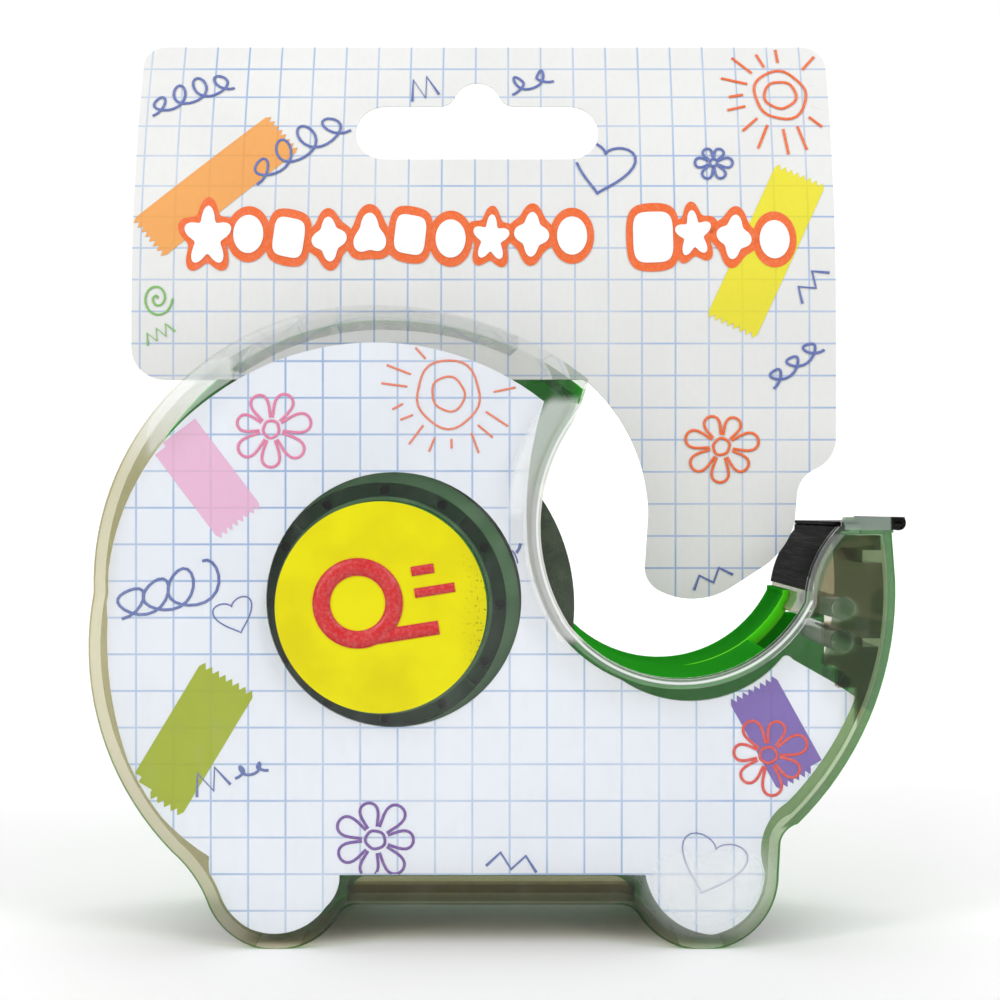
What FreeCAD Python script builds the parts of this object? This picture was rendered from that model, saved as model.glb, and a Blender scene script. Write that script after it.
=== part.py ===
import FreeCAD, Part
import math
import os

# Hand-held tape dispenser on a printed hang card, 1 inch core, 18 mm tape.
#
# Sizes are millimetres.  The drawing origin is the spindle axis on the front face of the clear shell:
# X to the right, Z up, Y to the back.  The finished parts are moved so that the whole product stands on
# z = 0 with its bounding box centred over the origin.

V = FreeCAD.Vector

# Body
DEPTH = 22.8
PART_LINE = 12.0
PLATE = 1.2
WALL = 1.3
ARM_TOP = 9.8
FOOT_FLAT = -40.4
CARD_GAP = 0.3
EDGE_ROUND = 0.9
HAIR = 0.02
FAR = 80

# Notch and cutter arm
NOTCH_X = 35.2
NOTCH_Z = 7.7
NOTCH_R = 16.2
NOTCH_ROOM = 3.3
NOTCH_WALL_REACH = 30
ROLL_WINDOW_TOP = 14.5
ROLL_WINDOW_LOW = -5.0
ROLL_WINDOW_RIGHT = 26.5
ROLL_ROOM = 0.5
FULL_WALL_START = 219.0
FULL_WALL_END = 309.0
ARM_ROOT_X = 45.0
ARM_LEG_X = 48.0
ARM_WALL_X = 56.5
ARM_WALL_INSET = 0.9
ARM_TOP_OPEN_Z = 1.2
GREEN_END_X = 58.0
GREEN_STEP_X = 59.9
GREEN_STEP_Z = -9.5
GREEN_STEP_LOW_Z = -12.4
GREEN_END_Z = -2.4
SEAT_X = 57.5
SEAT_Z = 8.4
GUARD_RISE = 0.85
GUARD_START_X = 53.7
GUARD_FULL_X = 54.9
GUARD_END_X = 60.4
BEAD_R = 0.55
BEAD_TOP = 24.0
BEAD_CENTRE = (36.7, 9.7)
BEAD_REACH = 22.7
PEG_R = 1.4
PEG_X = 54.9
PEG_ZS = (-0.3, -4.2)
PEG_END = 17.0
RIB_UPPER = (57.2, 60.4, 5.2, 6.7)
RIB_LOWER = (57.2, 60.0, -4.8, -3.8)
RIB_INSET = 0.5
JOIN = 0.1

# Spindle, core and roll
SPINDLE_R = 12.6
SPINDLE_WALL = 1.4
SPINDLE_CHAMFER = 0.3
CORE_BORE_R = 12.68
CORE_R = 16.4
CORE_FRONT = 2.6
CORE_WIDTH = 18.6
RACE_IN_R = 13.1
RACE_OUT_R = 14.8
RACE_DEPTH = 1.6
DIMPLE_RING_R = 13.95
DIMPLE_R = 0.62
DIMPLES = 12
RIB_ANGLES = (48.0, 138.0, 228.0, 318.0)
ROLL_R = 23.0
TAPE_FRONT = 3.0
TAPE_WIDTH = 18.0
LABEL_R = 12.5
LABEL_THICK = 0.12

# Cards
INSERT_THICK = 0.4
INSERT_AIR = 0.12
INSERT_HOLE_R = 15.2
INSERT_HOLE = (1.4, 0.8)
HEADER_THICK = 0.5
HEADER_LEFT = -33.3
HEADER_RIGHT = 57.0
HEADER_TOP = 73.1
HEADER_FOOT = 28.2
BEND_START = 36.0
LEAN = 6.0
SLOT_X = 10.9
SLOT_Z = 60.7
SLOT_WIDTH = 31.6
SLOT_HEIGHT = 7.4
BUMP_RISE = 3.4
BUMP_FOOT = 5.2

# Blade
BLADE_THICK = 0.4
BLADE_SEAT = 0.1
BLADE_FRONT = 1.3
BLADE_WIDTH = 20.6
BLADE_TIP = 62.4
BLADE_LEG_END = 1.8
BLADE_INSET = 0.45
BLADE_CORNER = (54.0, 54.9, 55.6)
LIP_R = 0.85
LIP_RISE = 0.25
TEETH = 20
TOOTH_DEPTH = 0.5


def at(x, z, y=0.0):
    return V(x, y, z)


def line(a, b):
    return Part.makeLine(at(*a), at(*b))


def arc(a, through, b):
    return Part.Arc(at(*a), at(*through), at(*b)).toShape()


def path(start, steps):
    """Closed wire: each step is an end point, or a through point and an end point."""
    edges = []
    here = start
    for step in steps:
        if len(step) == 1:
            edges.append(line(here, step[0]))
        else:
            edges.append(arc(here, step[0], step[1]))
        here = step[-1]
    return Part.Wire(edges)


def slab(wire_or_face, y0, y1):
    """Solid between two depths with the given outline."""
    face = wire_or_face
    if not isinstance(face, Part.Face):
        face = Part.Face(face)
    solid = face.extrude(V(0, y1 - y0, 0))
    solid.translate(V(0, y0, 0))
    return solid


def disc(x, z, radius, y0, y1):
    return Part.makeCylinder(radius, y1 - y0, V(x, y0, z), V(0, 1, 0))


def ring(x, z, outer, inner, y0, y1):
    return disc(x, z, outer, y0, y1).cut(disc(x, z, inner, y0 - 1, y1 + 1))


def block(x0, x1, z0, z1, y0=-5.0, y1=DEPTH + 5.0):
    return Part.makeBox(x1 - x0, y1 - y0, z1 - z0, V(x0, y0, z0))


def wedge(x, z, radius, start, end, y0, y1):
    """Pie slice from one angle to another, in degrees counter-clockwise seen from the front."""
    mid = (start + end) / 2.0
    points = []
    for angle in (start, mid, end):
        a = math.radians(angle)
        points.append((x + radius * math.cos(a), z + radius * math.sin(a)))
    return slab(path((x, z), [(points[0],), (points[1], points[2]), ((x, z),)]), y0, y1)


def snail():
    """Outline of the body: round coil, two foot lobes, arm, and the finger notch."""
    return path((24.6, 27.0), [
        ((14.8, 32.8), (1.1, 35.8)),
        ((-24.5, 26.2), (-34.2, 1.7)),
        ((-32.6, -17.0), (-24.9, -29.1)),
        ((-22.6, -31.6), (-20.9, -34.6)),
        ((-12.4, -40.8), (-4.9, -36.6)),
        ((-4.1, -35.7), (-3.0, -35.4)),
        ((28.3, -35.4),),
        ((29.5, -35.7), (30.3, -36.4)),
        ((38.2, -40.8), (47.2, -31.6)),
        ((47.4, -27.9),),
        ((47.9, -26.8), (49.4, -25.8)),
        ((57.8, -13.6), (61.0, 3.0)),
        ((60.5, ARM_TOP),),
        ((54.3, ARM_TOP),),
        ((51.2, 5.2), (50.2, 0.6)),
        ((35.2, -8.5), (22.2, -2.0)),
        ((18.9, 11.0), (22.6, 21.6)),
        ((23.9, 24.6), (24.6, 27.0)),
    ])


def inset(distance):
    """Body outline moved inward, always by a hair so that its corners carry small arcs."""
    face = Part.Face(snail())
    distance = max(distance, HAIR)
    return Part.Face(face.makeOffset2D(-distance).Wires)


def band(outer, inner, y0, y1):
    """Wall that follows the outline between two insets."""
    return slab(inset(outer), y0, y1).cut(slab(inset(inner), y0 - 1, y1 + 1))


def feet_trim(shape):
    return shape.cut(block(-FAR, FAR, -FAR, FOOT_FLAT))


def notch_zone():
    """Space along the finger notch that has no clear wall."""
    zone = disc(NOTCH_X, NOTCH_Z, NOTCH_R + NOTCH_ROOM, -5, DEPTH + 5)
    return zone.common(block(0, FAR, -FAR, ROLL_WINDOW_TOP))


def arm_zone():
    """Upper end of the arm, beyond the stepped end of the green shell."""
    step = slab(path((GREEN_END_X, FAR), [
        ((GREEN_END_X, GREEN_STEP_Z),),
        ((GREEN_STEP_X, (GREEN_STEP_Z + GREEN_STEP_LOW_Z) / 2.0),),
        ((GREEN_STEP_X, GREEN_STEP_LOW_Z),),
        ((FAR, GREEN_STEP_LOW_Z),),
        ((FAR, FAR),),
        ((GREEN_END_X, FAR),),
    ]), -5, DEPTH + 5)
    top = block(ARM_ROOT_X, FAR, ARM_TOP_OPEN_Z, FAR)
    return step.fuse([top, block(PEG_X - 2 * PEG_R, FAR, GREEN_END_Z, FAR)])


def arm_wall_line(offset, y0, y1):
    """Strip of wall along the notch side of the arm, a distance inside the outline."""
    strip = band(offset, offset + 1.0, y0, y1)
    return strip.common(block(ARM_LEG_X, ARM_WALL_X, -ARM_TOP_OPEN_Z, FAR, y0 - 1, y1 + 1))


def arm_guard():
    """Top edge of the clear plate, standing a little above the blade at the front."""
    top = ARM_TOP + GUARD_RISE
    root = ARM_TOP - 1.0
    return slab(path((GUARD_START_X, root), [
        ((GUARD_FULL_X, top),),
        ((GUARD_END_X, top),),
        ((GUARD_END_X + JOIN, root),),
        ((GUARD_START_X, root),),
    ]), 0, PLATE)


def rounded_slab(y_plate, y_open):
    """Solid body outline with the edge of the plate side rounded in short steps."""
    way = math.copysign(1.0, y_open - y_plate)
    wires = []
    for angle in (0, 30, 60, 90):
        a = math.radians(angle)
        wire = inset(HAIR + EDGE_ROUND * (1 - math.sin(a))).OuterWire.copy()
        wire.translate(V(0, y_plate + way * EDGE_ROUND * (1 - math.cos(a)), 0))
        wires.append(wire)
    start, end = sorted((y_plate + way * EDGE_ROUND, y_open))
    return slab(inset(HAIR), start, end).fuse(Part.makeLoft(wires, True, True))


def tray(y_plate, y_open):
    """Shallow moulding: a plate with a rounded edge and a rim round it."""
    inner = math.copysign(PLATE, y_open - y_plate)
    hollow = sorted((y_plate + inner, y_open + inner))
    return rounded_slab(y_plate, y_open).cut(slab(inset(WALL), hollow[0], hollow[1]))


def roll_room():
    """Space swept by a full roll, between the two plates."""
    return disc(0, 0, ROLL_R + ROLL_ROOM, PLATE, DEPTH - PLATE)


def front_shell():
    """Clear moulding: front plate, half-depth rim, full-depth arm, notch bead, pegs and ribs."""
    arm = band(0, WALL, PART_LINE, DEPTH).common(arm_zone())
    arm = arm.cut(notch_zone()).cut(block(0, SEAT_X, SEAT_Z, FAR))
    rim_gap = notch_zone().common(block(-FAR, FAR, -FAR, FAR, PLATE, PART_LINE + 1))
    shell = tray(0.0, PART_LINE).cut([rim_gap, roll_room()]).fuse(arm)
    shell = shell.fuse([arm_wall_line(ARM_WALL_INSET, PLATE - JOIN, DEPTH), arm_guard()])
    for z in PEG_ZS:
        shell = shell.fuse(disc(PEG_X, z, PEG_R, PLATE - JOIN, PEG_END))
    for rib in (RIB_UPPER, RIB_LOWER):
        solid = block(*rib, PLATE - JOIN, PART_LINE)
        shell = shell.fuse(solid.common(slab(inset(RIB_INSET), 0, DEPTH)))
    shell = shell.fuse(bead())
    return feet_trim(shell).removeSplitter()


def bead():
    """Rounded rail proud of the front face along the edge of the notch."""
    rail = band(0, 2 * BEAD_R, -BEAD_R, JOIN)
    keep = disc(*BEAD_CENTRE, BEAD_REACH, -2, 2)
    return rail.common(keep.common(block(0, ARM_WALL_X, -FAR, BEAD_TOP, -3, 3)))


def rear_shell():
    """Green moulding: back plate, half-depth rim, full-depth wall under the notch, spindle."""
    green = tray(DEPTH, PART_LINE)
    opening = disc(NOTCH_X, NOTCH_Z, NOTCH_R + NOTCH_ROOM, PART_LINE - 1, DEPTH - PLATE)
    window = block(0, ROLL_WINDOW_RIGHT, ROLL_WINDOW_LOW, ROLL_WINDOW_TOP)
    green = green.cut(opening.common(window))
    green = green.cut(arm_zone())
    wall = ring(NOTCH_X, NOTCH_Z, NOTCH_R + WALL, NOTCH_R, PLATE, DEPTH - PLATE + JOIN)
    reach = wedge(NOTCH_X, NOTCH_Z, NOTCH_WALL_REACH, FULL_WALL_START, FULL_WALL_END, PLATE, DEPTH)
    wall = wall.common(reach)
    green = green.fuse(wall.common(slab(inset(0), 0, DEPTH))).cut(roll_room())
    green = green.fuse(spindle())
    return feet_trim(green).removeSplitter()


def spindle():
    """Hollow boss that the core turns on, closed at the front."""
    boss = disc(0, 0, SPINDLE_R, PLATE, DEPTH - PLATE + JOIN)
    hollow = disc(0, 0, SPINDLE_R - SPINDLE_WALL, PLATE + SPINDLE_WALL, DEPTH + 1)
    edges = [e for e in boss.Edges if abs(e.BoundBox.YMax - PLATE) < 1e-6]
    return boss.makeChamfer(SPINDLE_CHAMFER, edges).cut(hollow)


def tape_core():
    """Moulded ring with a dimpled race, four thin ribs and a plain bore."""
    back = CORE_FRONT + CORE_WIDTH
    core = ring(0, 0, CORE_R, CORE_BORE_R, CORE_FRONT, back)
    race = ring(0, 0, RACE_OUT_R, RACE_IN_R, CORE_FRONT - 1, CORE_FRONT + RACE_DEPTH)
    for angle in RIB_ANGLES:
        rib = block(RACE_IN_R - 1, RACE_OUT_R + 1, -0.15, 0.15, CORE_FRONT + 0.4, CORE_FRONT + 5)
        rib.rotate(V(0, 0, 0), V(0, -1, 0), angle)
        race = race.cut(rib)
    core = core.cut(race)
    for i in range(DIMPLES):
        a = 2 * math.pi * i / DIMPLES
        x = DIMPLE_RING_R * math.cos(a)
        z = DIMPLE_RING_R * math.sin(a)
        core = core.cut(disc(x, z, DIMPLE_R, CORE_FRONT, CORE_FRONT + RACE_DEPTH + 1.5))
    return core


def tape_roll():
    return ring(0, 0, ROLL_R, CORE_R, TAPE_FRONT, TAPE_FRONT + TAPE_WIDTH)


def hub_label():
    return disc(0, 0, LABEL_R, -LABEL_THICK, 0)


def insert_card():
    """Printed card behind the clear plate, cut back at the belly, the notch and the arm."""
    outline = path((-20.6, -29.8), [
        ((-20.2, -33.4), (-18.0, -36.9)),
        ((-12.5, -39.0), (-6.7, -35.8)),
        ((-5.4, -33.9), (-5.1, -32.0)),
        ((31.4, -32.0),),
        ((33.4, -36.2), (38.0, -38.9)),
        ((44.4, -36.8), (45.4, -31.0)),
        ((45.6, -26.6), (48.3, -23.3)),
        ((52.9, -17.6), (56.4, -10.8)),
        ((54.2, -9.3),),
        ((48.9, -6.3),),
        ((48.2, -5.9), (47.6, -6.3)),
        ((36.6, -11.3), (26.7, -7.3)),
        ((20.4, -0.6), (17.2, 10.6)),
        ((18.6, 22.0), (19.3, 24.4)),
        ((0.9, 31.4), (-20.0, 25.2)),
        ((-30.6, 12.0), (-32.7, -1.7)),
        ((-32.0, -12.0), (-29.1, -21.4)),
        ((-25.0, -26.4), (-20.6, -29.8)),
    ])
    y0 = PLATE + INSERT_AIR
    card = slab(outline, y0, y0 + INSERT_THICK)
    card = card.common(slab(inset(WALL + CARD_GAP), 0, DEPTH))
    hole = disc(INSERT_HOLE[0], INSERT_HOLE[1], INSERT_HOLE_R, 0, DEPTH)
    return card.cut(hole)


def header_outline():
    """Header board with a tongue that comes down inside the notch."""
    return path((-30.7, HEADER_TOP), [
        ((53.8, HEADER_TOP),),
        ((56.1, 72.2), (HEADER_RIGHT, 70.0)),
        ((HEADER_RIGHT, 20.8),),
        ((56.2, 18.2), (54.3, 16.7)),
        ((52.7, 15.4), (52.0, 13.4)),
        ((51.7, 9.9),),
        ((49.8, 6.2), (47.0, 3.8)),
        ((43.6, 1.6),),
        ((38.4, 0.1), (34.6, 1.0)),
        ((33.0, 2.4), (32.6, 4.9)),
        ((33.0, 11.0),),
        ((30.8, 20.4), (25.4, 27.7)),
        ((24.6, HEADER_FOOT),),
        ((-29.3, HEADER_FOOT),),
        ((-32.1, 29.4), (HEADER_LEFT, 32.2)),
        ((HEADER_LEFT, 70.5),),
        ((-32.5, 72.3), (-30.7, HEADER_TOP)),
    ])


def euro_slot():
    """Hanging slot with round ends and a raised middle."""
    r = SLOT_HEIGHT / 2.0
    half = SLOT_WIDTH / 2.0 - r
    slot = block(SLOT_X - half, SLOT_X + half, SLOT_Z - r, SLOT_Z + r, 0, 60)
    for x in (SLOT_X - half, SLOT_X + half):
        slot = slot.fuse(disc(x, SLOT_Z, r, 0, 60))
    top = SLOT_Z + r
    bump = slab(path((SLOT_X - BUMP_FOOT, top - 0.5), [
        ((SLOT_X - 5.0, top),),
        ((SLOT_X - 3.6, top + 0.5), (SLOT_X - 2.8, top + 1.6)),
        ((SLOT_X, top + BUMP_RISE), (SLOT_X + 2.8, top + 1.6)),
        ((SLOT_X + 3.6, top + 0.5), (SLOT_X + 5.0, top)),
        ((SLOT_X + BUMP_FOOT, top - 0.5),),
        ((SLOT_X - BUMP_FOOT, top - 0.5),),
    ]), 0, 60)
    return slot.fuse(bump)


def header_card():
    """Card gripped between the shells, leaning back towards its top edge."""
    height = HEADER_TOP - BEND_START
    mid = (BEND_START + height / 2.0, PART_LINE + LEAN / 4.0)
    t = HEADER_THICK
    x0 = HEADER_LEFT - 5

    def side(y_shift):
        low = V(x0, PART_LINE + y_shift, -5)
        start = V(x0, PART_LINE + y_shift, BEND_START)
        through = V(x0, mid[1] + y_shift, mid[0])
        end = V(x0, PART_LINE + LEAN + y_shift, HEADER_TOP + 0.01)
        return low, start, through, end

    front = side(0.0)
    back = side(t)
    edges = [
        Part.makeLine(front[0], front[1]),
        Part.Arc(front[1], front[2], front[3]).toShape(),
        Part.makeLine(front[3], back[3]),
        Part.Arc(back[3], back[2], back[1]).toShape(),
        Part.makeLine(back[1], back[0]),
        Part.makeLine(back[0], front[0]),
    ]
    sheet = Part.Face(Part.Wire(edges)).extrude(V(HEADER_RIGHT - HEADER_LEFT + 10, 0, 0))
    return sheet.common(slab(header_outline(), 0, 60)).cut(euro_slot())


def blade_lip(low, y0, y1):
    """Free end of the flange: rolled down, then turned up, with teeth along its top edge."""
    x = BLADE_TIP - LIP_R
    middle = low + BLADE_THICK / 2.0
    roll = ring(x, middle, LIP_R, LIP_R - BLADE_THICK, y0, y1)
    roll = roll.common(block(x - 2, x + 2, middle - 2, middle))
    top = middle + LIP_RISE
    lip = roll.fuse(block(BLADE_TIP - BLADE_THICK, BLADE_TIP, middle, top, y0, y1))
    pitch = (y1 - y0) / TEETH
    for i in range(TEETH):
        a = V(BLADE_TIP - BLADE_THICK, y0 + i * pitch, top - 0.05)
        b = V(BLADE_TIP - BLADE_THICK, y0 + (i + 0.5) * pitch, top + TOOTH_DEPTH)
        c = V(BLADE_TIP - BLADE_THICK, y0 + (i + 1) * pitch, top - 0.05)
        tooth = Part.Face(Part.makePolygon([a, b, c, a])).extrude(V(BLADE_THICK, 0, 0))
        lip = lip.fuse(tooth)
    return lip


def cutter_blade():
    """Bent steel strip: leg on the notch side of the arm, flange on top, toothed lip at the end."""
    y0 = BLADE_FRONT
    y1 = BLADE_FRONT + BLADE_WIDTH
    low = ARM_TOP - BLADE_SEAT
    left, leg_right, right = BLADE_CORNER
    leg = band(BLADE_INSET, BLADE_INSET + BLADE_THICK, y0, y1)
    leg = leg.common(block(ARM_LEG_X, leg_right, BLADE_LEG_END, ARM_TOP + 1))
    flange = block(left, BLADE_TIP - 2 * LIP_R + BLADE_THICK, low, low + BLADE_THICK, y0, y1)
    corner = block(left, right, ARM_TOP - 1.0, ARM_TOP, y0, y1)
    leg_top = band(0.0, BLADE_INSET + BLADE_THICK, y0, y1).common(corner)
    return leg.fuse([flange, leg_top, blade_lip(low, y0, y1)]).removeSplitter()


def build():
    card = header_card()
    blade = cutter_blade()
    clear = front_shell().cut(blade)
    green = rear_shell().cut([card, blade, clear])
    return {
        "front_shell": clear,
        "rear_shell": green,
        "insert_card": insert_card(),
        "header_card": card,
        "cutter_blade": blade,
        "hub_label": hub_label(),
        "tape_core": tape_core(),
        "tape_roll": tape_roll(),
    }


def main():
    os.makedirs("parts", exist_ok=True)
    parts = build()
    box = Part.makeCompound(list(parts.values())).optimalBoundingBox()
    shift = V(-(box.XMin + box.XMax) / 2, -(box.YMin + box.YMax) / 2, -box.ZMin)
    print("spindle axis after the move:", shift)
    for name, shape in parts.items():
        moved = shape.copy()
        moved.translate(shift)
        print(name, len(moved.Solids), "solid, valid", moved.isValid(), "volume", round(moved.Volume, 1))
        moved.exportStep("parts/%s.step" % name)


main()
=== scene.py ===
"""Looks of a hand-held tape dispenser on a printed hang card.

Everything is in metres, Z up, with the clear front towards -Y.  Artwork and patches of colour are given
in millimetres from the spindle axis, X to the right and Z up.
"""

import logging
import math
import random
from dataclasses import dataclass, field
from enum import Enum
from typing import Callable, Protocol, Union

import bmesh
import bpy
from mathutils import Matrix, Vector
from mathutils.bvhtree import BVHTree


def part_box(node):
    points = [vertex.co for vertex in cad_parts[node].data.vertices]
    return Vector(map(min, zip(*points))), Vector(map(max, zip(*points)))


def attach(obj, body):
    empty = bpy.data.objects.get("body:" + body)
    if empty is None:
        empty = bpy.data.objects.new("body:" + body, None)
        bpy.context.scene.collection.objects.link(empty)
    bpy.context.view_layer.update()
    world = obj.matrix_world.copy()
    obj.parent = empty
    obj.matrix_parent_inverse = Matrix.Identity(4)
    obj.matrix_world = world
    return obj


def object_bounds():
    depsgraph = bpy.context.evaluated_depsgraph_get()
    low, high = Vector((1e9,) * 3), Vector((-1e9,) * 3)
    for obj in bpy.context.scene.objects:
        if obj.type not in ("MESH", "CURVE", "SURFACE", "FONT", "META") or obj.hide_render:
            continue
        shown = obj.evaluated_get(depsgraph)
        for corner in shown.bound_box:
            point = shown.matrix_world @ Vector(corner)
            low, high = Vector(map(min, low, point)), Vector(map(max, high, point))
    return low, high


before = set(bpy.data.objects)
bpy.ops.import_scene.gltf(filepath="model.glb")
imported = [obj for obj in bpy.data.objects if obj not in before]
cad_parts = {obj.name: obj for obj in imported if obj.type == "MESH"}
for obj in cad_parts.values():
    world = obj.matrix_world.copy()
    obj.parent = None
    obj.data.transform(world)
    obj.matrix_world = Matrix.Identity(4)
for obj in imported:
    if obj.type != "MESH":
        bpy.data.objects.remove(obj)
CAD_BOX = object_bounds()
MM = 0.001
HOUSING = "housing"
LOG = logging.getLogger("tape_dispenser")

Point = tuple[float, float]
Stroke = list[Point]
Rgb = tuple[float, float, float]
Outline = Callable[[float], float]
Thing = bpy.types.Object
Material = bpy.types.Material
Socket = bpy.types.NodeSocket
Value = Union[bpy.types.NodeSocket, float]
Colour = Union[bpy.types.NodeSocket, Rgb]


def linear(red: int, green: int, blue: int) -> Rgb:
    """Turns a printed colour of 0 to 255 into scene light.

    Args:
        red: Red share.
        green: Green share.
        blue: Blue share.

    Returns:
        The colour as three linear values.
    """
    shares = (value / 255.0 for value in (red, green, blue))
    return tuple(s / 12.92 if s <= 0.04045 else ((s + 0.055) / 1.055) ** 2.4 for s in shares)


@dataclass(frozen=True)
class Datum:
    """Where the drawing's zero lies in the frame: spindle axis and front face of the clear plate."""

    x: float
    front: float
    z: float

    @classmethod
    def from_frame(cls) -> "Datum":
        """Reads the spindle axis off the core and the front face off the label."""
        low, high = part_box("tape_core")
        return cls((low.x + high.x) / 2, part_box("hub_label")[1].y, (low.z + high.z) / 2)

    def at(self, x: float, depth: float, z: float) -> Vector:
        """Returns the place of a point given in millimetres from the datum."""
        return Vector((self.x + x * MM, self.front + depth * MM, self.z + z * MM))


DATUM = Datum.from_frame()


class Tone(Enum):
    """Printing inks on the cards and the label."""

    ORANGE = linear(238, 106, 40)
    ORANGE_TAPE = linear(240, 168, 92)
    RED = linear(226, 66, 52)
    CORAL = linear(240, 130, 96)
    PINK = linear(232, 128, 170)
    PINK_TAPE = linear(240, 190, 222)
    PURPLE = linear(116, 70, 160)
    PURPLE_TAPE = linear(126, 100, 182)
    BLUE = linear(92, 110, 176)
    GREEN = linear(120, 190, 80)
    LIME_TAPE = linear(166, 180, 2)
    YELLOW_TAPE = linear(236, 226, 60)
    WHITE = linear(250, 250, 250)
    SIGNAL_RED = linear(205, 24, 30)


@dataclass(frozen=True)
class Patch:
    """Upright rectangle with a soft edge, in millimetres from the spindle axis."""

    left: float
    right: float
    low: float
    high: float
    soft: float


@dataclass(frozen=True)
class Round:
    """Circle in millimetres from the spindle axis."""

    x: float
    z: float
    radius: float


class Wiring:
    """Short words for joining the shader nodes of one material."""

    def __init__(self, name: str) -> None:
        """Starts an empty material.

        Args:
            name: Its name.
        """
        self.material = bpy.data.materials.new(name)
        self.material.use_nodes = True
        self.tree = self.material.node_tree
        self.tree.nodes.clear()
        self.place = self.add("ShaderNodeTexCoord", {}).outputs["Object"]

    def feed(self, socket: Socket, value: Union[Value, Rgb]) -> None:
        """Fills one input.

        Args:
            socket: The input.
            value: Another node's output to join, or a constant.
        """
        if isinstance(value, bpy.types.NodeSocket):
            self.tree.links.new(value, socket)
        elif isinstance(value, tuple) and socket.type == "RGBA":
            socket.default_value = (*value, 1.0)
        else:
            socket.default_value = value

    def add(self, kind: str, inputs: dict, **settings: str) -> bpy.types.ShaderNode:
        """Adds a node.

        Args:
            kind: Blender's name of the node.
            inputs: Socket name or number to a constant or to another node's output.
            settings: Properties of the node itself.

        Returns:
            The new node.
        """
        node = self.tree.nodes.new(kind)
        for key, value in settings.items():
            setattr(node, key, value)
        for key, value in inputs.items():
            self.feed(node.inputs[key], value)
        return node

    def math(self, operation: str, a: Value, b: Value = 0.0) -> Socket:
        """Returns the output of a maths node on two values."""
        return self.add("ShaderNodeMath", {0: a, 1: b}, operation=operation).outputs[0]

    def times(self, first: Value, *others: Value) -> Value:
        """Returns the product of several values."""
        for value in others:
            first = self.math("MULTIPLY", first, value)
        return first

    def most(self, first: Value, *others: Value) -> Value:
        """Returns the largest of several values."""
        for value in others:
            first = self.math("MAXIMUM", first, value)
        return first

    def rest(self, value: Value) -> Socket:
        """Returns what is left of 1."""
        return self.math("SUBTRACT", 1.0, value)

    def between(self, value: Value, low: float, high: float, to_low: float = 0.0,
                to_high: float = 1.0) -> Socket:
        """Eases a value from one range to another.

        Args:
            value: The value.
            low: Start of its range.
            high: End of its range.
            to_low: Result up to the start.
            to_high: Result from the end on.

        Returns:
            The eased value.
        """
        inputs = {"Value": value, 1: low, 2: high, 3: to_low, 4: to_high}
        return self.add("ShaderNodeMapRange", inputs, interpolation_type="SMOOTHSTEP").outputs[0]

    def fade(self, value: Value, low: float, high: float) -> Socket:
        """Returns 1 up to the low end of a range, easing to 0 at its high end."""
        return self.between(value, low, high, 1.0, 0.0)

    def mix(self, share: Value, a: Colour, b: Colour) -> Socket:
        """Returns two colours mixed by a share."""
        return self.add("ShaderNodeMix", {0: share, 6: a, 7: b}, data_type="RGBA").outputs[2]

    def noise(self, scale: float, detail: float = 3.0, along: Rgb | None = None) -> Socket:
        """Spreads noise over the piece.

        Args:
            scale: Patches per metre.
            detail: Number of finer layers.
            along: Stretch along the axes, if any.

        Returns:
            The noise, about 0.5 on average.
        """
        place = self.place
        if along is not None:
            place = self.add("ShaderNodeMapping", {"Vector": place, "Scale": along}).outputs[0]
        return self.add("ShaderNodeTexNoise", {"Vector": place, "Scale": scale, "Detail": detail}).outputs[0]

    def axis(self, name: str, zero: float) -> Socket:
        """Returns one object coordinate, counted from a zero in metres."""
        parts = self.add("ShaderNodeSeparateXYZ", {"Vector": self.place})
        return self.math("SUBTRACT", parts.outputs[name], zero)

    def facing(self) -> Socket:
        """Returns how squarely the piece's own surface faces the front or the back."""
        normal = self.add("ShaderNodeTexCoord", {}).outputs["Normal"]
        return self.math("ABSOLUTE", self.add("ShaderNodeSeparateXYZ", {"Vector": normal}).outputs["Y"])

    def patch(self, area: Patch) -> Socket:
        """Marks an upright rectangle.

        Args:
            area: The rectangle.

        Returns:
            1 inside it and 0 outside.
        """
        sides = []
        half = area.soft / 2
        for name, zero, low, high in (("X", DATUM.x, area.left, area.right),
                                      ("Z", DATUM.z, area.low, area.high)):
            place = self.axis(name, zero)
            sides.append(self.between(place, (low - half) * MM, (low + half) * MM))
            sides.append(self.fade(place, (high - half) * MM, (high + half) * MM))
        return self.times(*sides)

    def distance(self, x: float = 0.0, z: float = 0.0) -> Socket:
        """Measures how far the surface is from a front-to-back line.

        Args:
            x: The line's place to the right, in millimetres.
            z: Its height, in millimetres.

        Returns:
            The distance in metres.
        """
        across = self.axis("X", DATUM.x + x * MM)
        up = self.axis("Z", DATUM.z + z * MM)
        return self.math("SQRT", self.math("ADD", self.times(across, across), self.times(up, up)))

    def rule(self, along: Value, start: float, cell: float, half_width: float) -> Socket:
        """Marks evenly spaced thin lines.

        Args:
            along: The coordinate they are counted along.
            start: Place of one line, in metres.
            cell: Distance from line to line, in metres.
            half_width: Half of a line's width, in metres.

        Returns:
            1 on the lines and 0 between them.
        """
        count = self.math("DIVIDE", self.math("SUBTRACT", along, start), cell)
        off = self.math("SUBTRACT", self.math("FRACT", self.math("ADD", count, 0.5)), 0.5)
        gap = self.times(self.math("ABSOLUTE", off), cell)
        return self.fade(gap, half_width * 0.45, half_width * 1.3)

    def bump(self, height: Value, strength: float, distance: float) -> Socket:
        """Returns a normal that follows a height."""
        inputs = {"Height": height, "Strength": strength, "Distance": distance}
        return self.add("ShaderNodeBump", inputs).outputs[0]

    def finish(self, shader: Socket) -> Material:
        """Joins the shader to the surface and returns the material."""
        self.add("ShaderNodeOutputMaterial", {"Surface": shader})
        return self.material

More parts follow.
